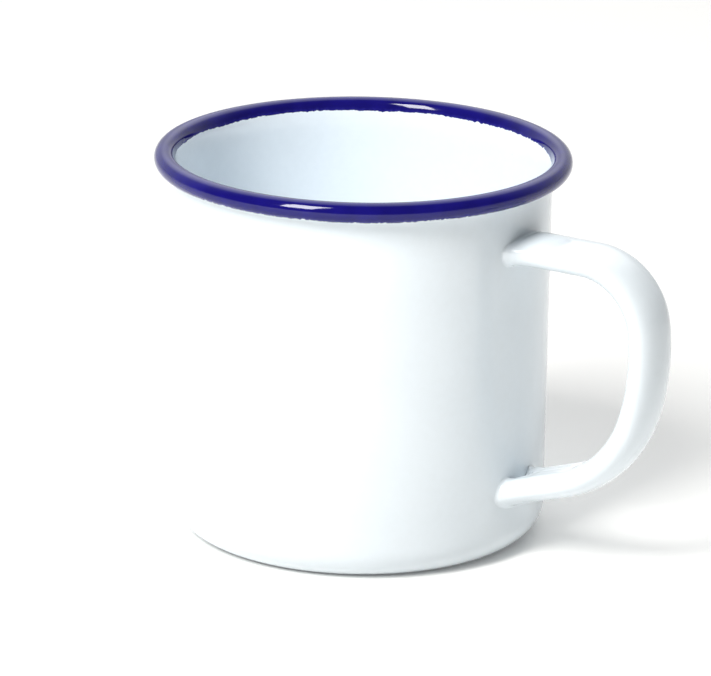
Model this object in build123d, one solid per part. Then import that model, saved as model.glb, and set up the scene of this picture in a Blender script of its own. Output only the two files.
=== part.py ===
"""Enamel drinking mug: drawn steel cup, rolled hollow handle, spot welds and fired enamel coats.

Frame: origin on the cup's axis in the plane that the foot ring stands on, +Z up, handle towards +X.
Millimetres. Every coat is its own closed solid and lies face to face on what it covers.
"""
import math
import os

from build123d import *

# Driving dimensions
HEIGHT = 82.8             # foot ring to the top of the rim, over the enamel
BODY_DIAMETER = 80.0      # outside of the wall just below the rim, over the enamel
RIM_DIAMETER = 88.1       # outside of the rolled rim, over the enamel
BEAD_DIAMETER = 4.3       # the rolled rim's own thickness, over the enamel
WALL_DRAFT_DEG = 0.13     # the wall leans in by this much towards the base
CORNER_RADIUS = 6.6       # outside radius between wall and foot ring
FOOT_RING_WIDTH = 0.8     # flat width that touches the table
PANEL_RISE = 1.0          # the base inside the foot ring stands this far off the table
PANEL_BEND_RADIUS = 3.0

STEEL = 0.5               # sheet thickness
GROUND_COAT = 0.1
COVER_COAT = 0.15
COAT = GROUND_COAT + COVER_COAT

FLARE_RADIUS = 14.5       # the wall bends outward with this radius before it curls
FLARE_TURN = 20.0
CURL_TURN = 300.0         # the curl's turn after the flare; its edge stops short of the wall
CREVICE_FILLET = 0.26     # enamel that pools where the curl comes back to the wall
BLUE_INSIDE_DROP = 2.4    # the blue coat reaches this far below the rim's top on the inside
BLUE_OUTSIDE_ANGLE = -60.0  # and round the bead to here, measured at the bead's centre

HANDLE_START = 38.0       # radius at which the handle's centre line is drawn from, inside the wall
HANDLE_TOP_Z = 68.3       # centre line of the upper arm at that radius
UPPER_ARM_RISE_DEG = -0.2
UPPER_ARM_LENGTH = 17.6
SHOULDER_RADIUS, SHOULDER_TURN = 14.7, 83.3
GRIP_RADIUS, GRIP_TURN = 48.0, 23.7
ELBOW_RADIUS, ELBOW_TURN = 25.7, 55.0
HANDLE_WIDTH = 12.8       # over the enamel
HANDLE_THICKNESS = 6.0
FINGER_SIDE_RADIUS = 2.7  # edges of the flat finger side
FOOT_LENGTH = 4.5         # the ends change shape over this length
FOOT_WIDTH = 15.2         # both ends spread to this width on the wall
UPPER_FOOT_CROWN = 1.9    # the upper end is flattened to this height over its centre line
LOWER_FOOT_CROWN = 3.1
NOTCH_RADIUS = 4.8        # at the ends the strip's edges part, in a round notch in the finger side
NOTCH_DEPTH = 2.0
END_PLATE = 0.8           # the handle's hollow stops this far from the wall
SEAM_WIDTH = 0.3          # gap between the strip's rolled edges on the finger side
SEAM_GROOVE_RADIUS = 0.6
SEAM_GROOVE_DEPTH = 0.1

WELD_RADIUS = 1.2
WELD_SPACING = 6.4        # two spots side by side at each end
WELD_DEPTH = 0.3          # a spot reaches this far into each of the two pieces

FIRING_MARKS = 3          # bare spots that the firing points leave under the base
FIRING_MARK_RADIUS = 0.5
FIRING_MARK_CIRCLE = 22.0
FIRST_MARK_ANGLE = 30.0

# Derived sizes: the cup's sheet is described by the line midway through its steel
HALF_STEEL = STEEL / 2
MID_TO_SKIN = HALF_STEEL + COAT
MID_CORNER = CORNER_RADIUS - MID_TO_SKIN
MID_CURL = BEAD_DIAMETER / 2 - MID_TO_SKIN
BEAD_CENTRE = Vector(RIM_DIAMETER / 2 - BEAD_DIAMETER / 2, HEIGHT - BEAD_DIAMETER / 2)
WALL_REACH = BODY_DIAMETER / 2 - HANDLE_START   # the centre line runs this far into the wall

# Sections that shape the handle: where they stand in each foot, and how many spans lie between
FOOT_SECTIONS = (-0.09, 0.11, 0.31, 0.53, 1.0)
HANDLE_SPANS = 18


def trace(start, heading, steps, offset):
    """Edges of a path moved sideways, to its right, by offset.

    A step is ("line", length) or ("left" | "right", radius, turn in degrees).
    """
    direction = Vector(1, 0).rotate(Axis.Z, heading)
    point = start + direction.rotate(Axis.Z, -90) * offset
    edges = []
    for kind, *size in steps:
        if kind == "line":
            edge = Line(point, point + direction * size[0])
        elif kind == "left":
            edge = JernArc(point, direction, size[0] + offset, size[1])
        else:
            edge = JernArc(point, direction, size[0] - offset, -size[1])
        edges.append(edge)
        point = edge @ 1
        direction = edge % 1
    return edges


def flare_start():
    """Where the straight wall ends, worked back from the bead's centre."""
    turn = math.radians(FLARE_TURN)
    lean = math.radians(WALL_DRAFT_DEG)
    gap = FLARE_RADIUS - MID_CURL
    flare_centre = BEAD_CENTRE + Vector(math.cos(turn), -math.sin(turn)) * gap
    return flare_centre + Vector(-math.cos(lean), math.sin(lean)) * FLARE_RADIUS


def sheet_steps():
    """Start point and steps of the cup's middle line, from the axis to the end of the straight wall."""
    bend = math.degrees(math.acos(1 - PANEL_RISE / (2 * PANEL_BEND_RADIUS)))
    step_out = 2 * PANEL_BEND_RADIUS * math.sin(math.radians(bend))
    wall_top = flare_start()
    lean = math.radians(WALL_DRAFT_DEG)
    corner_turn = 90 - WALL_DRAFT_DEG
    corner_rise = MID_CORNER * (1 - math.sin(lean))
    wall_length = (wall_top.Y - MID_TO_SKIN - corner_rise) / math.cos(lean)
    corner_start = wall_top.X - wall_length * math.sin(lean) - MID_CORNER * math.cos(lean)
    panel = corner_start - FOOT_RING_WIDTH - step_out
    steps = [
        ("line", panel),
        ("right", PANEL_BEND_RADIUS, bend),
        ("left", PANEL_BEND_RADIUS, bend),
        ("line", FOOT_RING_WIDTH),
        ("left", MID_CORNER, corner_turn),
        ("line", wall_length),
    ]
    return Vector(0, MID_TO_SKIN + PANEL_RISE), steps


def rim_steps():
    """The flare starts upright: the small lean of the wall is taken up in its turn."""
    return [("right", FLARE_RADIUS, FLARE_TURN - WALL_DRAFT_DEG)]


def closed_between(inner, outer):
    """Face between two lists of edges that start side by side and end side by side."""
    start = Line(inner[0] @ 0, outer[0] @ 0)
    end = Line(inner[-1] @ 1, outer[-1] @ 1)
    return make_face([*inner, end, *outer, start])


def sheet_profile(steps, coat=0.0):
    """Section of the sheet with coats of the given thickness on both sides."""
    start, _ = sheet_steps()
    half = HALF_STEEL + coat
    return closed_between(trace(start, 0, steps, -half), trace(start, 0, steps, half))


def filled_profile(coat, fillet_radius):
    """Section of the cup with its curl filled in, inside the outer surface of a coat."""
    _, steps = sheet_steps()
    wall = sheet_profile(steps + rim_steps(), coat)
    bead = Pos(BEAD_CENTRE.X, BEAD_CENTRE.Y) * Circle(MID_CURL + HALF_STEEL + coat)
    filled = wall + bead
    if fillet_radius:
        below_bead = [v for v in filled.vertices() if is_crevice(v)]
        filled = fillet(below_bead, fillet_radius)
    return filled


def is_crevice(vertex):
    """The one corner where the curl's underside meets the outside of the wall."""
    left_of_bead = vertex.X < BEAD_CENTRE.X
    below_centre = BEAD_CENTRE.Y - BEAD_DIAMETER < vertex.Y < BEAD_CENTRE.Y
    outside = vertex.X > flare_start().X + HALF_STEEL / 2
    return left_of_bead and below_centre and outside


def blue_zone():
    """Region of the section that the blue coat covers."""
    reach = BEAD_DIAMETER * 2
    centre = BEAD_CENTRE
    outside = centre + Vector(reach, 0).rotate(Axis.Z, BLUE_OUTSIDE_ANGLE)
    far_x = centre.X + reach
    near_x = centre.X - reach
    top_z = HEIGHT + reach
    edge_z = HEIGHT - BLUE_INSIDE_DROP
    corners = [
        centre,
        outside,
        Vector(far_x, outside.Y),
        Vector(far_x, top_z),
        Vector(near_x, top_z),
        Vector(near_x, edge_z),
        Vector(centre.X, edge_z),
    ]
    return make_face(Polyline(*corners, close=True))


def turned(profile):
    """Solid of revolution of a section drawn as radius and height."""
    return revolve(Plane.XZ * profile, Axis.Z)


def steel_cup():
    _, steps = sheet_steps()
    curl = [("right", MID_CURL, CURL_TURN)]
    return turned(sheet_profile(steps + rim_steps() + curl))


def steel_envelope():
    """Everything inside the outer face of the steel wall, to the axis."""
    start, steps = sheet_steps()
    skin = trace(start, 0, steps, HALF_STEEL)
    top = skin[-1] @ 1
    axis_top = Vector(0, top.Y)
    return turned(make_face([*skin, Line(top, axis_top), Line(axis_top, skin[0] @ 0)]))


def cup_coats():
    """Ground coat, outer white, blue and inner white, before the handle is let in."""
    bare = filled_profile(0.0, 0.0)
    grounded = filled_profile(GROUND_COAT, CREVICE_FILLET / 2)
    covered = filled_profile(COAT, CREVICE_FILLET)
    cover = covered - grounded
    blue = cover & blue_zone()
    whites = (cover - blue_zone()).faces().sort_by(lambda face: face.bounding_box().min.Y)
    ground = grounded - bare
    return turned(ground), turned(whites[0]), turned(blue), turned(whites[-1])


def handle_path():
    """Centre line of the handle in the XZ plane, from the upper end to the lower."""
    start = Vector(HANDLE_START, HANDLE_TOP_Z)
    steps = [
        ("line", UPPER_ARM_LENGTH),
        ("right", SHOULDER_RADIUS, SHOULDER_TURN),
        ("right", GRIP_RADIUS, GRIP_TURN),
        ("right", ELBOW_RADIUS, ELBOW_TURN),
    ]
    edges = trace(start, UPPER_ARM_RISE_DEG, steps, 0)
    point = edges[-1] @ 1
    direction = edges[-1] % 1
    length = (HANDLE_START - point.X) / direction.X
    edges.append(Line(point, point + direction * length))
    return Plane.XZ * Wire(edges)


def handle_section(width, crown_height, inset):
    """A crowned outer side, towards +Y of its plane, and a flat finger side with rounded edges."""
    half_w = width / 2 - inset
    half_t = HANDLE_THICKNESS / 2 - inset
    round_r = FINGER_SIDE_RADIUS - inset
    crown = EllipticalCenterArc((0, 0), half_w, crown_height - inset, start_angle=0, arc_size=180)
    left = Line((-half_w, 0), (-half_w, round_r - half_t))
    left_round = JernArc(left @ 1, (0, -1), round_r, 90)
    flat = Line(left_round @ 1, (half_w - round_r, -half_t))
    right_round = JernArc(flat @ 1, (1, 0), round_r, 90)
    right = Line(right_round @ 1, (half_w, 0))
    return make_face([crown, left, left_round, flat, right_round, right])


def handle_stations(length):
    """Distances along the centre line of the sections: close at the spreading ends, even between."""
    foot = [WALL_REACH + FOOT_LENGTH * share for share in FOOT_SECTIONS]
    near_wall = [0, *foot]
    first, last = foot[-1], length - foot[-1]
    between = [first + (last - first) * i / HANDLE_SPANS for i in range(1, HANDLE_SPANS)]
    return near_wall + between + [length - d for d in reversed(near_wall)]


def spread(distance, length):
    """How far the handle has spread into its foot: 1 at the wall, 0 past the foot's length."""
    from_wall = min(distance, length - distance) - WALL_REACH
    share = min(1.0, max(0.0, 1 - from_wall / FOOT_LENGTH))
    return share ** 2


def section_plane(path, distance):
    """Plane across the handle: its x is the handle's width, its y points away from the finger gap."""
    point = path.position_at(distance, position_mode=PositionMode.LENGTH)
    tangent = path.tangent_at(distance, position_mode=PositionMode.LENGTH)
    return Plane(point, x_dir=(0, -1, 0), z_dir=tangent * -1)


def handle_body(path, inset):
    """Loft of the handle with its surface moved in by inset, and a notch at each end."""
    faces = []
    for distance in handle_stations(path.length):
        grow = spread(distance, path.length)
        foot_crown = UPPER_FOOT_CROWN if distance < path.length / 2 else LOWER_FOOT_CROWN
        width = HANDLE_WIDTH + (FOOT_WIDTH - HANDLE_WIDTH) * grow
        crown = HANDLE_THICKNESS / 2 + (foot_crown - HANDLE_THICKNESS / 2) * grow
        plane = section_plane(path, distance)
        faces.append(plane * handle_section(width, crown, inset))
    return loft(faces) - notches(path, inset)


def notches(path, inset):
    """Balls that part the strip's two edges where the finger side meets the wall."""
    balls = []
    for distance in (WALL_REACH, path.length - WALL_REACH):
        above = Vector(0, NOTCH_DEPTH - NOTCH_RADIUS - HANDLE_THICKNESS / 2)
        centre = section_plane(path, distance).from_local_coords(above)
        balls.append(Pos(*centre) * Sphere(NOTCH_RADIUS + inset))
    return balls


def seam_line(path, depth):
    """The middle of the finger side, at a depth below the handle's surface, in the XZ plane."""
    edges = []
    for edge in path.edges():
        start = section_plane(edge, 0)
        end = section_plane(edge, edge.length)
        drop = Vector(0, -1) * (HANDLE_THICKNESS / 2 - depth)
        points = [plane.from_local_coords(drop) for plane in (start, end)]
        if edge.geom_type == GeomType.LINE:
            edges.append(Line(*points))
        else:
            middle = section_plane(edge, edge.length / 2).from_local_coords(drop)
            edges.append(ThreePointArc(points[0], middle, points[1]))
    return Wire(edges)


def seam_cutter(path, profile, depth):
    """A profile swept along the seam, clear of the spreading ends."""
    line = seam_line(path, depth)
    margin = WALL_REACH + FOOT_LENGTH
    line = line.trim(margin / line.length, 1 - margin / line.length)
    start = section_plane(line, 0)
    return sweep(start * profile, path=line)


def weld_spots(path, at_start):
    """Two fused spots across the joint between an end of the handle and the wall."""
    distance = 0 if at_start else path.length
    plane = section_plane(path, distance)
    radius = BODY_DIAMETER / 2 - COAT
    spots = []
    for side in (-1, 1):
        half_angle = math.degrees(side * WELD_SPACING / 2 / radius)
        root = Vector(radius - WELD_DEPTH, 0, weld_height(plane, radius))
        spot = Pos(*root) * Rot(0, 90, 0) * Cylinder(
            WELD_RADIUS, 2 * WELD_DEPTH, align=(Align.CENTER, Align.CENTER, Align.MIN)
        )
        spots.append(Rot(0, 0, half_angle) * spot)
    return spots


def weld_height(plane, radius):
    """Height at which the arm's centre line meets the wall."""
    along = (radius - plane.origin.X) / plane.z_dir.X
    return plane.origin.Z + along * plane.z_dir.Z


def firing_marks():
    """Small pins that leave bare spots through the white coat under the base."""
    pin = Pos(FIRING_MARK_CIRCLE, 0, PANEL_RISE) * Cylinder(FIRING_MARK_RADIUS, 2 * COVER_COAT)
    turns = [Rot(0, 0, FIRST_MARK_ANGLE + 360 * i / FIRING_MARKS) for i in range(FIRING_MARKS)]
    return [turn * pin for turn in turns]


def build():
    path = handle_path()
    inside = steel_envelope()
    outer = handle_body(path, 0)
    ground = handle_body(path, COVER_COAT)
    steel = handle_body(path, COAT)
    hollow = handle_body(path, COAT + STEEL) - end_blocks()
    slot = seam_cutter(path, Rectangle(SEAM_WIDTH, 2 * STEEL), COAT + STEEL / 2)
    groove = seam_cutter(path, Circle(SEAM_GROOVE_RADIUS), SEAM_GROOVE_DEPTH - SEAM_GROOVE_RADIUS)
    upper_welds = weld_spots(path, True)
    lower_welds = weld_spots(path, False)
    welds = upper_welds + lower_welds
    cup_ground, outer_white, blue, inner_white = cup_coats()
    return {
        "steel_cup": steel_cup() - welds,
        "steel_handle": steel - inside - hollow - slot - welds,
        "upper_handle_weld": Compound(upper_welds),
        "lower_handle_weld": Compound(lower_welds),
        "cup_ground_coat": cup_ground - outer,
        "handle_ground_coat": ground - inside - steel,
        "outer_white_enamel": outer_white - outer - firing_marks(),
        "handle_white_enamel": outer - inside - ground - groove,
        "inner_white_enamel": inner_white,
        "rim_blue_enamel": blue,
    }


def end_blocks():
    """What the hollow is cut back by, so that each end keeps a closed plate against the wall."""
    radius = BODY_DIAMETER / 2 - COAT + END_PLATE
    return Cylinder(radius, HEIGHT, align=(Align.CENTER, Align.CENTER, Align.MIN))


os.makedirs("parts", exist_ok=True)
for name, shape in build().items():
    shape.label = name
    export_step(shape, f"parts/{name}.step")
    print(f"{name}: {shape.volume:.1f} mm3")
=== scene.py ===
import math

import bmesh
import bpy
import numpy as np
from mathutils import Matrix, Vector, noise


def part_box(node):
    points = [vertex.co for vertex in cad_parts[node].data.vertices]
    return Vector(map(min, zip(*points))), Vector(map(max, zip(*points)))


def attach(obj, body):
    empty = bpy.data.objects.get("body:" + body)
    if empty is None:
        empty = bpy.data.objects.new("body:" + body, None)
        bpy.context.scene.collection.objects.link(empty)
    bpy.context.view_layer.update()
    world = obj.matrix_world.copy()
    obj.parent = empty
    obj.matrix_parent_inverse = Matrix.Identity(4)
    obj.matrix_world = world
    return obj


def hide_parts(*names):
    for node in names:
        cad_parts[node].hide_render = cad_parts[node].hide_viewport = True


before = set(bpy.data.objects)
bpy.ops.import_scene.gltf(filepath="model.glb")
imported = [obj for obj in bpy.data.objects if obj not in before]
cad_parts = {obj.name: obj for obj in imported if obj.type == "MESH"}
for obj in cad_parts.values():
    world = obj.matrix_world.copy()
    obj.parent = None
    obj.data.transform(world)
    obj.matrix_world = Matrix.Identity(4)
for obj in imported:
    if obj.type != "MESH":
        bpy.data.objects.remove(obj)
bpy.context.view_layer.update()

# Metres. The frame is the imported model's: axis of the cup at the origin, handle towards +X.
MM = 0.001
_, BLUE_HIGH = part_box("rim_blue_enamel")
RIM_RADIUS = BLUE_HIGH.x
HEIGHT = BLUE_HIGH.z
BEAD_RADIUS = 2.15 * MM
BEAD = np.array([RIM_RADIUS - BEAD_RADIUS, HEIGHT - BEAD_RADIUS])

# The cup's sheet: its enamel's surfaces lie SKIN from the middle line of the steel.
SKIN = 0.5 * MM
COVER = 0.15 * MM
WALL_LEAN = math.radians(0.13)
CORNER_RADIUS = 6.1 * MM
FOOT_RING = 0.8 * MM
PANEL_RISE = 1.0 * MM
PANEL_BEND = 3.0 * MM
FLARE_RADIUS = 14.5 * MM
FLARE_TURN = math.radians(20)
CURL_RADIUS = BEAD_RADIUS - SKIN
CREVICE_RADIUS = 0.26 * MM

# The blue coat lies over the ends of the two white ones.
BLUE_PROUD = 0.03 * MM
OUTER_RAGGED, INNER_RAGGED = 1.1 * MM, 0.45 * MM
BLUE_OUTER_END = math.radians(-57)
BLUE_DROP = 2.45 * MM                  # the inner edge lies this far below the top
BLUE_AROUND = 1200
BLUE_EDGE = 0.22 * MM                    # width of the rounded edge
THIN_REACH = 0.9 * MM                    # the coat looks thin this near an edge
WHITE_OUTER_END = math.radians(-45)      # the outer white runs on this far under the blue

# The handle's middle line and section
ARM_START = 38.0 * MM
WALL_REACH = 2.0 * MM                  # the middle line runs this far into the wall
ARM_TOP = 68.3 * MM
ARM_RISE = math.radians(-0.2)
ARM_LENGTH = 17.6 * MM
BENDS = (
    (14.7 * MM, math.radians(83.3)),
    (48.0 * MM, math.radians(23.7)),
    (25.7 * MM, math.radians(55.0)),
)
HANDLE_WIDTH = 12.8 * MM
HALF_THICKNESS = 3.0 * MM
FINGER_EDGE = 2.7 * MM

# Its ends: they spread on the wall, the strip's edges part in a notch, and enamel fills the corner.
FOOT_LENGTH = 4.5 * MM
FOOT_WIDTH = 15.2 * MM
FOOT_CROWNS = (1.9 * MM, 3.1 * MM)     # height over the middle line on the wall: upper, lower
FOOT_SAG = 0.75 * MM                   # how far the wall falls away at the foot's two sides
NOTCH_RADIUS = 4.8 * MM
NOTCH_DEPTH = 2.0 * MM
NOTCH_ROUNDING = 0.3 * MM
FILLET_DEPTH = 1.3 * MM
FILLET_SIDEWAYS = 0.75 * MM
FILLET_CROWN, FILLET_FINGER = 0.5 * MM, 0.7 * MM
BLEND_LENGTH = 7.0 * MM                # over which the rings bend to the wall's curve
SEAM_DEPTH = 0.06 * MM
SEAM_HALF_WIDTH = 0.45 * MM
RING_SPACING = 0.8 * MM

# The view: the camera stands this far round from the handle's side and looks slightly down.
VIEW_TURN = math.radians(32.0)
VIEW_RISE = math.radians(15.41)
VIEW_DISTANCE = 1.0803
VIEW_PAN, VIEW_TILT, VIEW_ROLL = (math.radians(a) for a in (0.057, -2.122, 0.91))
LENS, SENSOR = 260.0, 36.0

# Light: turns are from the camera's side towards the left
KEY_TURN, KEY_RISE = math.radians(38), math.radians(44)
KEY_DISTANCE, KEY_SIZES, KEY_POWER = 1.2, (0.36, 0.68), 17.5
FLOOR_GLOW = 0.06                       # a lit table: it fills the shadow and the contact line a little
ROOM_DIM, ROOM_BRIGHT = 0.15, 0.75      # the room's light, in front of the mug and behind it
ROOM_EDGE = (-0.15, 0.8)
BACK_RISE, BACK_STRENGTH = math.radians(52), 1.35   # a soft patch, high behind the mug
BACK_EDGE = (0.75, 0.95)

# One white enamel in two copies. The outside's white is set darker than the enamel's own white, as
# painted shade on the wall and the handle. The inside's white is set brighter, as painted light in the
# cup.
OUTER_WHITE_WITH_PAINTED_SHADE = (0.705, 0.762, 0.802)
INNER_WHITE_WITH_PAINTED_LIGHT = (0.835, 0.905, 0.960)

MARKS = 3
FIRST_MARK = math.radians(30)
MARK_CIRCLE = 22.0 * MM
MARK_RADIUS = 0.55 * MM
MARK_AROUND = 20
MARK_PROFILE = ((0.9, -0.08), (1.0, 0.0), (0.92, 0.04), (0.6, 0.06), (0.3, 0.045))

AROUND = 288
WALL_SPACING = 1.2 * MM


# Lines in the (radius, height) plane

def unit(angle):
    return np.array([math.cos(angle), math.sin(angle)])


def walk(start, heading, steps, offset, spacing):
    """Points along a path of lines and arcs, moved sideways to its right by offset.

    A step is (kind, length or radius, turn), where kind is "line", "left" or "right".
    The number of points doesn't depend on the offset.
    """
    point = np.array(start, float)
    points = []
    for kind, size, turn in steps:
        right = unit(heading - math.pi / 2)
        if kind == "line":
            count = math.ceil(size / spacing)
            stride = unit(heading) * size
            places = [point + right * offset + stride * i / count for i in range(count + 1)]
            point = point + stride
        else:
            side = 1 if kind == "right" else -1
            centre = point + right * size * side
            count = max(6, math.ceil(2 * turn * size / spacing))
            places = []
            for i in range(count + 1):
                outward = -side * unit(heading - side * turn * i / count - math.pi / 2)
                places.append(centre + outward * (size - side * offset))
            heading -= side * turn
            point = centre - side * unit(heading - math.pi / 2) * size
        points += places[1:] if points else places
    return np.array(points)


def flare_centre():
    return BEAD + unit(-FLARE_TURN) * (FLARE_RADIUS - CURL_RADIUS)


def wall_radius(z):
    """The outside of the straight wall at a height."""
    top = flare_centre() + unit(math.pi - WALL_LEAN) * FLARE_RADIUS
    return top[0] + SKIN / math.cos(WALL_LEAN) - (top[1] - z) * math.tan(WALL_LEAN)


def sheet_walk():
    """Start and steps of the cup's middle line, from the axis to the end of the straight wall."""
    top = flare_centre() + unit(math.pi - WALL_LEAN) * FLARE_RADIUS
    bend = math.acos(1 - PANEL_RISE / (2 * PANEL_BEND))
    corner_rise = CORNER_RADIUS * (1 - math.sin(WALL_LEAN))
    wall = (top[1] - SKIN - corner_rise) / math.cos(WALL_LEAN)
    corner_start = top[0] - wall * math.sin(WALL_LEAN) - CORNER_RADIUS * math.cos(WALL_LEAN)
    panel = corner_start - FOOT_RING - 2 * PANEL_BEND * math.sin(bend)
    steps = [
        ("line", panel, 0),
        ("right", PANEL_BEND, bend),
        ("left", PANEL_BEND, bend),
        ("line", FOOT_RING, 0),
        ("left", CORNER_RADIUS, math.pi / 2 - WALL_LEAN),
        ("line", wall, 0),
    ]
    return np.array([0, SKIN + PANEL_RISE]), steps


def arc(centre, radius, first, last, count):
    angles = np.linspace(first, last, count + 1)
    return centre + radius * np.stack([np.cos(angles), np.sin(angles)], 1)


def crevice():
    """Centre of the enamel's fillet between the outside of the flare and the bead's underside."""
    flare = flare_centre()
    from_flare, from_bead = FLARE_RADIUS - SKIN - CREVICE_RADIUS, BEAD_RADIUS + CREVICE_RADIUS
    gap = FLARE_RADIUS - CURL_RADIUS
    along = (from_flare ** 2 - from_bead ** 2 + gap ** 2) / (2 * gap)
    below = math.sqrt(from_flare ** 2 - along ** 2)
    return flare + unit(math.pi - FLARE_TURN) * along + unit(1.5 * math.pi - FLARE_TURN) * below


def angle_of(line):
    return math.atan2(line[1], line[0])


def outer_line(depth):
    """Outside of the cup at a depth under its surface: panel, wall, flare and the bead's underside."""
    start, steps = sheet_walk()
    wall = walk(start, 0, steps, SKIN - depth, WALL_SPACING)
    flare, corner = flare_centre(), crevice()
    on_flare, on_bead = angle_of(corner - flare), angle_of(BEAD - corner)
    rise = arc(flare, FLARE_RADIUS - SKIN + depth, math.pi - WALL_LEAN, on_flare, 8)
    fillet = arc(corner, CREVICE_RADIUS + depth, on_flare, on_bead, 8)
    bead = arc(BEAD, BEAD_RADIUS - depth, on_bead - math.pi, WHITE_OUTER_END, 14)
    return np.concatenate([wall, rise[1:], fillet[1:], bead[1:]])


def inner_line(depth):
    """Inside of the cup at a depth under its surface: panel, wall, flare and the top of the bead."""
    start, steps = sheet_walk()
    flare = ("right", FLARE_RADIUS, FLARE_TURN - WALL_LEAN)
    wall = walk(start, 0, steps + [flare], depth - SKIN, WALL_SPACING)
    bead = arc(BEAD, BEAD_RADIUS - depth, math.pi - FLARE_TURN, math.pi / 2, 8)
    return np.concatenate([wall, bead[1:]])


def under_blue(line):
    """A white skin, sunk a little towards the rim, where the blue coat lies on it."""
    surface, sunk, back = line(0), line(BLUE_PROUD), line(COVER)
    share = np.clip((surface[:, 1] - HEIGHT + 9 * MM) / (4 * MM), 0, 1)[:, None]
    front = surface * (1 - share) + sunk * share
    return front, back


# Meshes

def mesh_object(name, verts, faces):
    mesh = bpy.data.meshes.new(name)
    mesh.from_pydata([tuple(v) for v in verts], [], faces)
    mesh.validate()
    mesh.shade_smooth()
    solid = bmesh.new()
    solid.from_mesh(mesh)
    if solid.calc_volume(signed=True) < 0:
        mesh.flip_normals()
    solid.free()
    obj = bpy.data.objects.new(name, mesh)
    bpy.context.scene.collection.objects.link(obj)
    return obj


def grid_faces(rings, loop_rings):
    """Quads between rings of vertex numbers. A ring of one vertex is a pole."""
    faces = []
    nexts = rings[1:] + (rings[:1] if loop_rings else [])
    for low, high in zip(rings, nexts):
        count = max(len(low), len(high))
        if count == 1:
            continue
        for i in range(count):
            j = (i + 1) % count
            corners = [low[i % len(low)], low[j % len(low)], high[j % len(high)], high[i % len(high)]]
            faces.append(tuple(dict.fromkeys(corners)))
    return faces


def lathe(name, section, wobble):
    """A closed shell turned about the axis. wobble(angle, radius, height) moves a point outward."""
    rings, verts = [], []
    for radius, height in section:
        turns = 1 if radius < 1e-9 else AROUND
        rings.append(range(len(verts), len(verts) + turns))
        for i in range(turns):
            angle = 2 * math.pi * i / AROUND
            reach = radius + wobble(angle, radius, height) if turns > 1 else 0
            verts.append((reach * math.cos(angle), reach * math.sin(angle), height))
    return mesh_object(name, verts, grid_faces(rings, False))


def swell(angle, radius, height):
    """The slight unevenness of a drawn wall, dying out towards the base and the rim."""
    above_base = min(1, max(0, (height - 6 * MM) / (8 * MM)))
    below_rim = min(1, max(0, (HEIGHT - 4 * MM - height) / (8 * MM)))
    fade = above_base * below_rim
    if fade == 0 or radius < 30 * MM:
        return 0
    at = Vector((math.cos(angle) * 1.6, math.sin(angle) * 1.6, height / (26 * MM)))
    return 0.05 * MM * fade * (noise.noise(at) - 0.4)


def white_film(name, line):
    front, back = under_blue(line)
    front[0][0] = back[0][0] = 0
    return lathe(name, np.concatenate([front, back[::-1]]), swell)


def ragged(angle, seed, size):
    """A hand-dipped edge: slow drift, small steps and a few nicks."""
    turn = Vector((math.cos(angle), math.sin(angle), 0))
    drift = noise.noise(turn * 3 + Vector((0, 0, seed)))
    steps = noise.noise(turn * 40 + Vector((0, 0, seed + 5)))
    grain = noise.noise(turn * 110 + Vector((0, 0, seed + 9)))
    nick = max(0, noise.noise(turn * 24 + Vector((0, 0, seed + 13))) - 0.45)
    return size * (0.5 * drift + 0.5 * steps + 0.45 * grain - 2.2 * nick)


def blue_point(along, depth):
    """A point on the rim's surface, by its distance round the bead and down the flare, and its depth."""
    bead_arc = BEAD_RADIUS * (math.pi - FLARE_TURN - BLUE_OUTER_END)
    if along < bead_arc:
        return BEAD + unit(BLUE_OUTER_END + along / BEAD_RADIUS) * (BEAD_RADIUS - depth)
    reach = FLARE_RADIUS + SKIN
    angle = math.pi - FLARE_TURN + (along - bead_arc) / reach
    return flare_centre() + unit(angle) * (reach - depth)


def blue_film():
    """The blue coat over the rim, with the uneven edges that a dipped rim has."""
    on_flare = FLARE_TURN - math.asin((HEIGHT - BLUE_DROP - flare_centre()[1]) / (FLARE_RADIUS + SKIN))
    length = BEAD_RADIUS * (math.pi - FLARE_TURN - BLUE_OUTER_END) + (FLARE_RADIUS + SKIN) * on_flare
    edge = BLUE_EDGE
    shares = np.concatenate([[0, 0.3, 0.7, 1], np.linspace(1.6, 40.4, 40), [41, 41.3, 41.7, 42]])
    verts, rings, thin = [], [], []
    for i in range(BLUE_AROUND):
        angle = 2 * math.pi * i / BLUE_AROUND
        first = ragged(angle, 2.0, OUTER_RAGGED)
        last = length + ragged(angle, 31.0, INNER_RAGGED)
        rows = []
        for share in shares:
            if share <= 1:
                along = first + share * edge
            elif share >= 41:
                along = last - (42 - share) * edge
            else:
                along = first + edge + (last - first - 2 * edge) * (share - 1) / 40
            from_edge = min(1, (along - first) / edge, (last - along) / edge)
            rows.append((along, BLUE_PROUD * 1.3 * (1 - math.sqrt(max(0, 1 - (1 - from_edge) ** 2)))))
        backs = [(first + (last - first) * s, 0.9 * COVER) for s in np.linspace(1, 0, 14)]
        rings.append(range(len(verts), len(verts) + len(rows) + len(backs)))
        for along, depth in rows + backs:
            r, z = blue_point(along, depth)
            verts.append((r * math.cos(angle), r * math.sin(angle), z))
            thin.append(smooth(1 - min(along - first, last - along) / THIN_REACH))
    film = mesh_object("rim_blue_film", verts, grid_faces(rings, True))
    film.data.attributes.new("thin", "FLOAT", "POINT").data.foreach_set("value", thin)
    return film


# The handle

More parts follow.
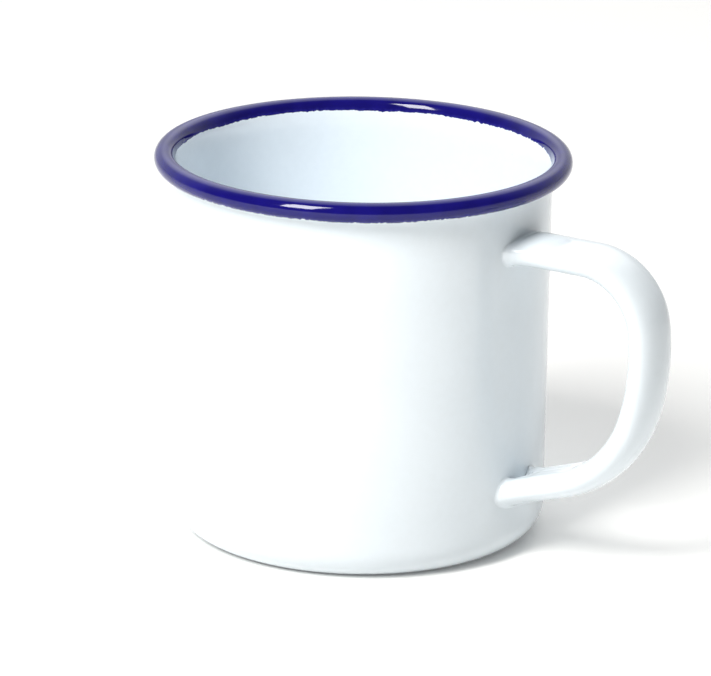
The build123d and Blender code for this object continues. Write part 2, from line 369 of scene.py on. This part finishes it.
def handle_line(spacing):
    """Points and headings along the handle's middle line, from its upper start to its lower end."""
    point, heading = np.array([ARM_START, ARM_TOP]), ARM_RISE
    rows = [(point, heading)]

    def run(length):
        nonlocal point
        count = math.ceil(length / spacing)
        for i in range(1, count + 1):
            rows.append((point + unit(heading) * length * i / count, heading))
        point = rows[-1][0]

    run(ARM_LENGTH)
    for radius, turn in BENDS:
        centre = point + unit(heading - math.pi / 2) * radius
        count = math.ceil(radius * turn / spacing)
        for i in range(1, count + 1):
            angle = heading - turn * i / count
            rows.append((centre + unit(angle + math.pi / 2) * radius, angle))
        point, heading = rows[-1]
    run((ARM_START - point[0]) / math.cos(heading))
    return rows


def handle_section(half_w, crown_height):
    """Points (across, out) round the handle: a crowned outer side and a flat finger side."""
    angles = np.linspace(0, math.pi, 45)
    crown = np.stack([half_w * np.cos(angles), crown_height * np.sin(angles)], 1)
    edge, low = FINGER_EDGE, -HALF_THICKNESS
    left = arc(np.array([edge - half_w, edge + low]), edge, math.pi, 1.5 * math.pi, 10)
    across = np.linspace(edge - half_w, half_w - edge, 36)
    flat = np.stack([across, np.full(len(across), low)], 1)
    right = arc(np.array([half_w - edge, edge + low]), edge, 1.5 * math.pi, 2 * math.pi, 10)
    return np.concatenate([crown, left, flat[1:-1], right])


def normals_2d(loop):
    tangent = np.roll(loop, -1, 0) - np.roll(loop, 1, 0)
    normal = np.stack([tangent[:, 1], -tangent[:, 0]], 1)
    return normal / np.linalg.norm(normal, axis=1)[:, None]


def smooth(x):
    x = min(1.0, max(0.0, x))
    return x * x * (3 - 2 * x)


def seam_and_skin(loop, along, depth):
    """The section moved in by depth, with the seam's shallow wandering groove down the finger side."""
    wander = 0.12 * MM * noise.noise(Vector((along / (9 * MM), 3.0, 0)))
    deep = SEAM_DEPTH * (0.75 + 0.5 * noise.noise(Vector((along / (5 * MM), 8.0, 0))))
    finger = loop[:, 1] < 0.9 * loop[:, 1].min()
    groove = finger * np.exp(-((loop[:, 0] - wander) / SEAM_HALF_WIDTH) ** 2) * deep
    return loop - normals_2d(loop) * (groove + depth)[:, None]


def notched(x, y, z, upward, centre, radius):
    """Heights z pushed out of the notch's ball, away from the finger gap."""
    flat = (x - centre[0]) ** 2 + y ** 2
    bottom = centre[1] + upward * np.sqrt(np.maximum(radius ** 2 - flat, 0))
    push = np.where(flat < radius ** 2, np.maximum(upward * (bottom - z), 0), 0)
    return z + upward * (np.hypot(push, NOTCH_ROUNDING) - NOTCH_ROUNDING)


def handle_ring(centre, heading, from_wall, along, depth, foot):
    """One ring of the handle's surface, at a depth under it.

    from_wall is the distance left to the wall. Towards 0 the ring spreads, bends to the wall's
    curve, and takes the notch and the fillet. foot is 0 at the upper end and 1 at the lower.
    """
    spread = min(1, max(0, 1 - (from_wall - FOOT_SAG) / FOOT_LENGTH)) ** 2
    flattening = min(1, max(0, 1 - from_wall / FOOT_LENGTH)) ** 2
    half_w = (HANDLE_WIDTH + spread * (FOOT_WIDTH - HANDLE_WIDTH)) / 2
    crown = HALF_THICKNESS + flattening * (FOOT_CROWNS[foot] - HALF_THICKNESS)
    section = handle_section(half_w, crown)
    loop = seam_and_skin(section, along, depth)
    out = unit(heading + math.pi / 2)
    upward = 1 if out[1] > 0 else -1
    x = centre[0] + loop[:, 1] * out[0]
    y = -loop[:, 0]
    z = centre[1] + loop[:, 1] * out[1]
    flush = smooth((BLEND_LENGTH - from_wall) / (BLEND_LENGTH - FILLET_DEPTH))
    if flush == 0:
        return np.stack([x, y, z], 1)
    shift = flush * (np.sqrt(wall_radius(z) ** 2 - y ** 2) + from_wall - x)
    x = x + shift
    rise = math.asin(1 - min(1, max(0, from_wall / FILLET_DEPTH)))
    reach = (1 - math.cos(rise)) * normals_2d(section)
    y = y - FILLET_SIDEWAYS * reach[:, 0]
    fillet = np.where(reach[:, 1] < 0, FILLET_FINGER, FILLET_CROWN) * reach[:, 1]
    z = z + shift * math.tan(heading) + upward * fillet
    z = notched(x, y, z, upward, *notch_ball(foot, depth))
    on_wall = np.sqrt(wall_radius(z) ** 2 - y ** 2) + from_wall
    return np.stack([x + flush * (on_wall - x), y, z], 1)


def notch_ball(foot, depth):
    """Centre (radius, height) and radius of the ball that cuts a notch in an end's finger side."""
    rows = handle_line(RING_SPACING)
    point, heading = rows[-1] if foot else rows[0]
    wall = point + unit(heading) * WALL_REACH * (-1 if foot else 1)
    out = unit(heading + math.pi / 2)
    return wall - out * (HALF_THICKNESS + NOTCH_RADIUS - NOTCH_DEPTH), NOTCH_RADIUS + depth


def handle_stations():
    """(centre, heading, distance to the wall, distance along) of each ring."""
    rows = handle_line(RING_SPACING)
    points = np.array([r[0] for r in rows])
    steps = np.linalg.norm(np.diff(points, axis=0), axis=1)
    along = np.concatenate([[0], np.cumsum(steps)])
    headings = np.unwrap([r[1] for r in rows])
    wall_first = (wall_radius(points[0][1]) - points[0][0]) / math.cos(headings[0])
    wall_last = along[-1] - (wall_radius(points[-1][1]) - points[-1][0]) / abs(math.cos(headings[-1]))
    near = [FILLET_DEPTH * (1 - math.cos(math.pi / 2 * i / 12)) for i in range(13)]
    beyond = [FILLET_DEPTH + (BLEND_LENGTH - FILLET_DEPTH) * i / 18 for i in range(1, 19)]
    ends = [-COVER] + near + beyond
    middle = np.linspace(wall_first + BLEND_LENGTH, wall_last - BLEND_LENGTH, 110)[1:-1]
    places = [wall_first + d for d in ends] + list(middle) + [wall_last - d for d in reversed(ends)]
    stations = []
    for place in places:
        centre = np.array([np.interp(place, along, points[:, i]) for i in (0, 1)])
        heading = float(np.interp(place, along, headings))
        foot = int(place > (wall_first + wall_last) / 2)
        from_wall = wall_last - place if foot else place - wall_first
        stations.append((centre, heading, from_wall, place, foot))
    return stations


def handle_film():
    """The white film on the handle: outer and inner surface, joined where they reach the wall."""
    verts, rings = [], []
    stations = handle_stations()
    for depth in (0, COVER):
        for centre, heading, from_wall, along, foot in stations if depth == 0 else reversed(stations):
            ring = handle_ring(centre, heading, from_wall, along, depth, foot)
            rings.append(range(len(verts), len(verts) + len(ring)))
            verts += list(ring)
    return mesh_object("handle_white_film", verts, grid_faces(rings, True))


def firing_marks():
    """Small rough spots under the base, where the mug stood on its firing points."""
    verts, faces = [], []
    for spot in range(MARKS):
        turn = FIRST_MARK + 2 * math.pi * spot / MARKS
        centre = MARK_CIRCLE * unit(turn)
        base = len(verts)
        for reach, depth in MARK_PROFILE:
            for i in range(MARK_AROUND):
                angle = 2 * math.pi * i / MARK_AROUND
                place = Vector((math.cos(angle) * 1.5, math.sin(angle) * 1.5, spot * 7))
                rough = 1 + 0.28 * noise.noise(place)
                x, y = centre + unit(angle) * MARK_RADIUS * reach * rough
                verts.append((x, y, PANEL_RISE - depth * MM))
        starts = [base + row * MARK_AROUND for row in range(len(MARK_PROFILE))]
        rings = [range(start, start + MARK_AROUND) for start in starts]
        faces += [tuple(reversed(f)) for f in grid_faces(rings, False)]
        faces += [tuple(rings[0]), tuple(reversed(rings[-1]))]
    return mesh_object("firing_marks", verts, faces)


# Materials

class Shader:
    """A Principled material with short ways to add the nodes that these surfaces need."""

    def __init__(self, name, **settings):
        self.material = bpy.data.materials.new(name)
        self.material.use_nodes = True
        self.tree = self.material.node_tree
        self.bsdf = self.tree.nodes["Principled BSDF"]
        for socket, value in settings.items():
            self.bsdf.inputs[socket.replace("_", " ")].default_value = value
        self.place = self.add("ShaderNodeTexCoord").outputs["Object"]

    def add(self, kind, inputs=(), **properties):
        node = self.tree.nodes.new(kind)
        for key, value in properties.items():
            setattr(node, key, value)
        for socket, value in dict(inputs).items():
            if isinstance(value, bpy.types.NodeSocket):
                self.tree.links.new(value, node.inputs[socket])
            else:
                node.inputs[socket].default_value = value
        return node

    def noise(self, size, detail=2.0, stretch=(1, 1, 1)):
        """Noise from 0 to 1 with features of a size in metres, stretched along the axes."""
        place = self.add("ShaderNodeMapping", {"Vector": self.place, "Scale": stretch}).outputs[0]
        node = self.add("ShaderNodeTexNoise", {"Vector": place, "Scale": 1 / size, "Detail": detail})
        return node.outputs["Fac"]

    def between(self, value, low, high, out_low=0.0, out_high=1.0):
        inputs = {"Value": value, "From Min": low, "From Max": high}
        inputs.update({"To Min": out_low, "To Max": out_high})
        return self.add("ShaderNodeMapRange", inputs, interpolation_type="SMOOTHSTEP").outputs["Result"]

    def maths(self, operation, a, b):
        return self.add("ShaderNodeMath", {0: a, 1: b}, operation=operation).outputs[0]

    def mix(self, share, a, b):
        node = self.add("ShaderNodeMix", {0: share, 6: a, 7: b}, data_type="RGBA")
        return node.outputs[2]

    def height(self):
        return self.add("ShaderNodeSeparateXYZ", {"Vector": self.place}).outputs["Z"]

    def flecks(self, cell, radius, share):
        """A few round spots: 1 inside them, 0 elsewhere."""
        inputs = {"Vector": self.place, "Scale": 1 / cell}
        cells = self.add("ShaderNodeTexVoronoi", inputs)
        near = self.between(cells.outputs["Distance"], 0, radius / cell, 1, 0)
        pick = self.add("ShaderNodeSeparateColor", {"Color": cells.outputs["Color"]}).outputs["Red"]
        return self.maths("MULTIPLY", near, self.maths("LESS_THAN", pick, share))

    def bumps(self, *layers):
        """Bump from (height value, distance in metres) layers."""
        normal = None
        for value, distance in layers:
            inputs = {"Height": value, "Distance": distance, "Strength": 1.0}
            if normal:
                inputs["Normal"] = normal
            normal = self.add("ShaderNodeBump", inputs).outputs["Normal"]
        self.tree.links.new(normal, self.bsdf.inputs["Normal"])

    def link(self, value, socket):
        self.tree.links.new(value, self.bsdf.inputs[socket])


def rgb(r, g, b):
    return (r, g, b, 1.0)


def white_enamel(name, tint):
    """Glossy cool-white glass: clouded by its thickness, orange-peeled, pinholed, rubbed at the foot."""
    s = Shader(name, IOR=1.53)
    cloud = s.between(s.noise(16 * MM, 3), 0.3, 0.7)
    # tint carries painted light and shade: darker for the outside and the handle, brighter for the
    # inside.
    colour = s.mix(cloud, rgb(*tint), rgb(*(share + 0.018 for share in tint)))
    fine = s.between(s.noise(1.6 * MM, 4), 0.35, 0.65)
    colour = s.mix(s.maths("MULTIPLY", fine, 0.12), colour, rgb(0.76, 0.83, 0.89))
    pinholes = s.flecks(5 * MM, 0.13 * MM, 0.07)
    colour = s.mix(s.maths("MULTIPLY", pinholes, 0.55), colour, rgb(0.20, 0.22, 0.27))
    foot = s.between(s.height(), 0.15 * MM, 0.7 * MM, 1, 0)
    rubs = s.maths("MULTIPLY", foot, s.between(s.noise(0.9 * MM, 5), 0.45, 0.62))
    colour = s.mix(s.maths("MULTIPLY", rubs, 0.45), colour, rgb(0.42, 0.43, 0.45))
    s.link(colour, "Base Color")
    gloss = s.between(s.noise(7 * MM, 4), 0.3, 0.7, 0.06, 0.10)
    s.link(s.maths("ADD", gloss, s.maths("MULTIPLY", rubs, 0.3)), "Roughness")
    s.bumps((s.noise(9 * MM, 1), 0.035 * MM), (s.noise(2.4 * MM, 2), 0.006 * MM), (pinholes, -0.02 * MM))
    return s.material


def blue_enamel():
    """Deep cobalt glass, a little paler and more violet where the coat thins out at its edges."""
    s = Shader("blue_enamel", IOR=1.43)
    thin = s.add("ShaderNodeAttribute", attribute_name="thin").outputs["Fac"]
    cloud = s.between(s.noise(5 * MM, 3), 0.3, 0.7)
    colour = s.mix(cloud, rgb(0.004, 0.002, 0.115), rgb(0.006, 0.0035, 0.148))
    share = s.maths("MULTIPLY", thin, s.between(s.noise(0.8 * MM, 4), 0.3, 0.8, 0.1, 0.6))
    colour = s.mix(share, colour, rgb(0.040, 0.036, 0.33))
    s.link(colour, "Base Color")
    s.link(s.between(s.noise(4 * MM, 4), 0.3, 0.7, 0.05, 0.085), "Roughness")
    s.bumps((s.noise(6 * MM, 1), 0.03 * MM), (s.noise(1.8 * MM, 2), 0.006 * MM))
    return s.material


def ground_enamel():
    """The first coat: nearly black blue glass, matt, with a fine boil."""
    s = Shader("ground_enamel", IOR=1.5)
    tone = s.between(s.noise(2 * MM, 4), 0.3, 0.7)
    s.link(s.mix(tone, rgb(0.010, 0.012, 0.022), rgb(0.030, 0.034, 0.055)), "Base Color")
    s.link(s.between(s.noise(0.7 * MM, 3), 0.3, 0.7, 0.35, 0.6), "Roughness")
    s.bumps((s.noise(0.4 * MM, 3), 0.03 * MM))
    return s.material


def drawn_steel():
    """Pickled deep-drawing sheet, with draw lines up the wall."""
    s = Shader("drawn_steel", Metallic=1.0)
    lines = s.noise(0.6 * MM, 3, stretch=(1, 1, 0.06))
    s.link(s.mix(lines, rgb(0.40, 0.40, 0.41), rgb(0.58, 0.58, 0.59)), "Base Color")
    s.link(s.between(s.noise(3 * MM, 4), 0.3, 0.7, 0.32, 0.5), "Roughness")
    s.bumps((lines, 0.01 * MM))
    return s.material


def weld_steel():
    """A spot weld's nugget: coarser, with a blued heat tint."""
    s = Shader("weld_steel", Metallic=1.0)
    tint = s.between(s.noise(1.5 * MM, 3), 0.35, 0.65)
    s.link(s.mix(tint, rgb(0.28, 0.27, 0.30), rgb(0.45, 0.38, 0.30)), "Base Color")
    s.link(s.between(s.noise(0.5 * MM, 4), 0.3, 0.7, 0.4, 0.6), "Roughness")
    s.bumps((s.noise(0.5 * MM, 3), 0.03 * MM))
    return s.material


def dress(obj, material):
    obj.data.materials.clear()
    obj.data.materials.append(material)


# Studio

def toward(turn, rise):
    """Direction from the mug to something: its turn to the left of the camera, and its height angle."""
    angle = VIEW_TURN - math.pi / 2 - turn
    flat = math.cos(rise)
    return Vector((flat * math.cos(angle), flat * math.sin(angle), math.sin(rise)))


def floor():
    bpy.ops.mesh.primitive_circle_add(vertices=128, radius=20, fill_type="NGON", location=(0, 0, 0))
    sheet = bpy.context.object
    sheet.name = "floor"
    s = Shader("floor", Roughness=0.85, Specular_IOR_Level=0.2, Emission_Strength=FLOOR_GLOW)
    s.bsdf.inputs["Emission Color"].default_value = rgb(1, 1, 1)
    tone = s.between(s.noise(0.15, 2), 0.3, 0.7)
    s.link(s.mix(tone, rgb(0.93, 0.928, 0.915), rgb(0.94, 0.938, 0.925)), "Base Color")
    sheet.data.materials.append(s.material)


def key_light():
    lamp = bpy.data.lights.new("key", "AREA")
    lamp.shape = "RECTANGLE"
    lamp.size, lamp.size_y = KEY_SIZES
    lamp.energy = KEY_POWER
    lamp.color = (1.0, 0.985, 0.96)
    obj = bpy.data.objects.new("key", lamp)
    bpy.context.scene.collection.objects.link(obj)
    aim = toward(KEY_TURN, KEY_RISE)
    obj.location = Vector((0, 0, HEIGHT / 2)) + aim * KEY_DISTANCE
    obj.rotation_euler = aim.to_track_quat("Z", "Y").to_euler()


def room():
    """Light all round: dim in front of the mug, pale behind it, with a wide soft patch high behind."""
    world = bpy.data.worlds.new("room")
    bpy.context.scene.world = world
    world.use_nodes = True
    tree = world.node_tree
    back = tree.nodes["Background"]
    place = tree.nodes.new("ShaderNodeTexCoord").outputs["Generated"]

    def toward_light(direction, edge, low, high):
        dot = tree.nodes.new("ShaderNodeVectorMath")
        dot.operation = "DOT_PRODUCT"
        dot.inputs[1].default_value = direction
        tree.links.new(place, dot.inputs[0])
        ramp = tree.nodes.new("ShaderNodeMapRange")
        ramp.interpolation_type = "SMOOTHSTEP"
        for socket, value in zip(("From Min", "From Max", "To Min", "To Max"), (*edge, low, high)):
            ramp.inputs[socket].default_value = value
        tree.links.new(dot.outputs["Value"], ramp.inputs["Value"])
        return ramp.outputs["Result"]

    total = tree.nodes.new("ShaderNodeMath")
    around = toward_light(toward(math.pi, 0), ROOM_EDGE, ROOM_DIM, ROOM_BRIGHT)
    patch = toward_light(toward(math.pi, BACK_RISE), BACK_EDGE, 0, BACK_STRENGTH)
    tree.links.new(around, total.inputs[0])
    tree.links.new(patch, total.inputs[1])
    rays = tree.nodes.new("ShaderNodeLightPath")
    seen = tree.nodes.new("ShaderNodeMix")
    tree.links.new(rays.outputs["Is Camera Ray"], seen.inputs[0])
    tree.links.new(total.outputs[0], seen.inputs[2])
    seen.inputs[3].default_value = 1.0
    tree.links.new(seen.outputs[0], back.inputs["Strength"])
    back.inputs["Color"].default_value = rgb(0.985, 0.995, 1.0)


def camera():
    data = bpy.data.cameras.new("camera")
    data.lens, data.sensor_width = LENS, SENSOR
    data.clip_start, data.clip_end = 0.05, 60
    obj = bpy.data.objects.new("camera", data)
    bpy.context.scene.collection.objects.link(obj)
    aim = toward(0, VIEW_RISE)
    place = Matrix.Translation(Vector((0, 0, HEIGHT)) + aim * VIEW_DISTANCE)
    turn = aim.to_track_quat("Z", "Y").to_matrix().to_4x4()
    for angle, axis in ((VIEW_PAN, "Y"), (VIEW_TILT, "X"), (VIEW_ROLL, "Z")):
        turn = turn @ Matrix.Rotation(angle, 4, axis)
    obj.matrix_world = place @ turn
    bpy.context.scene.camera = obj


def build():
    # Both materials are the same white enamel: the outside copy carries painted shade, the inside copy
    # painted light.
    outside = white_enamel("white_enamel_outside_painted_shade", OUTER_WHITE_WITH_PAINTED_SHADE)
    inside = white_enamel("white_enamel_inside_painted_light", INNER_WHITE_WITH_PAINTED_LIGHT)
    pieces = (
        (white_film("outer_white_film", outer_line), "outer_white_enamel", "white_enamel", outside),
        (white_film("inner_white_film", inner_line), "inner_white_enamel", "white_enamel", inside),
        (blue_film(), "rim_blue_enamel", "blue_enamel", blue_enamel()),
        (handle_film(), "handle_white_enamel", "white_enamel", outside),
    )
    for piece, node, slot, material in pieces:
        dress(piece, material)
        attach(piece, "root")
        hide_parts(node)
    ground = ground_enamel()
    marks = firing_marks()
    dress(marks, ground)
    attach(marks, "root")
    steel, weld = drawn_steel(), weld_steel()
    hidden = {
        "steel_cup": steel,
        "steel_handle": steel,
        "cup_ground_coat": ground,
        "handle_ground_coat": ground,
        "upper_handle_weld": weld,
        "lower_handle_weld": weld,
    }
    for node, material in hidden.items():
        dress(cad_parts[node], material)


build()
floor()
key_light()
room()
camera()
bpy.context.scene.view_settings.view_transform = "Standard"
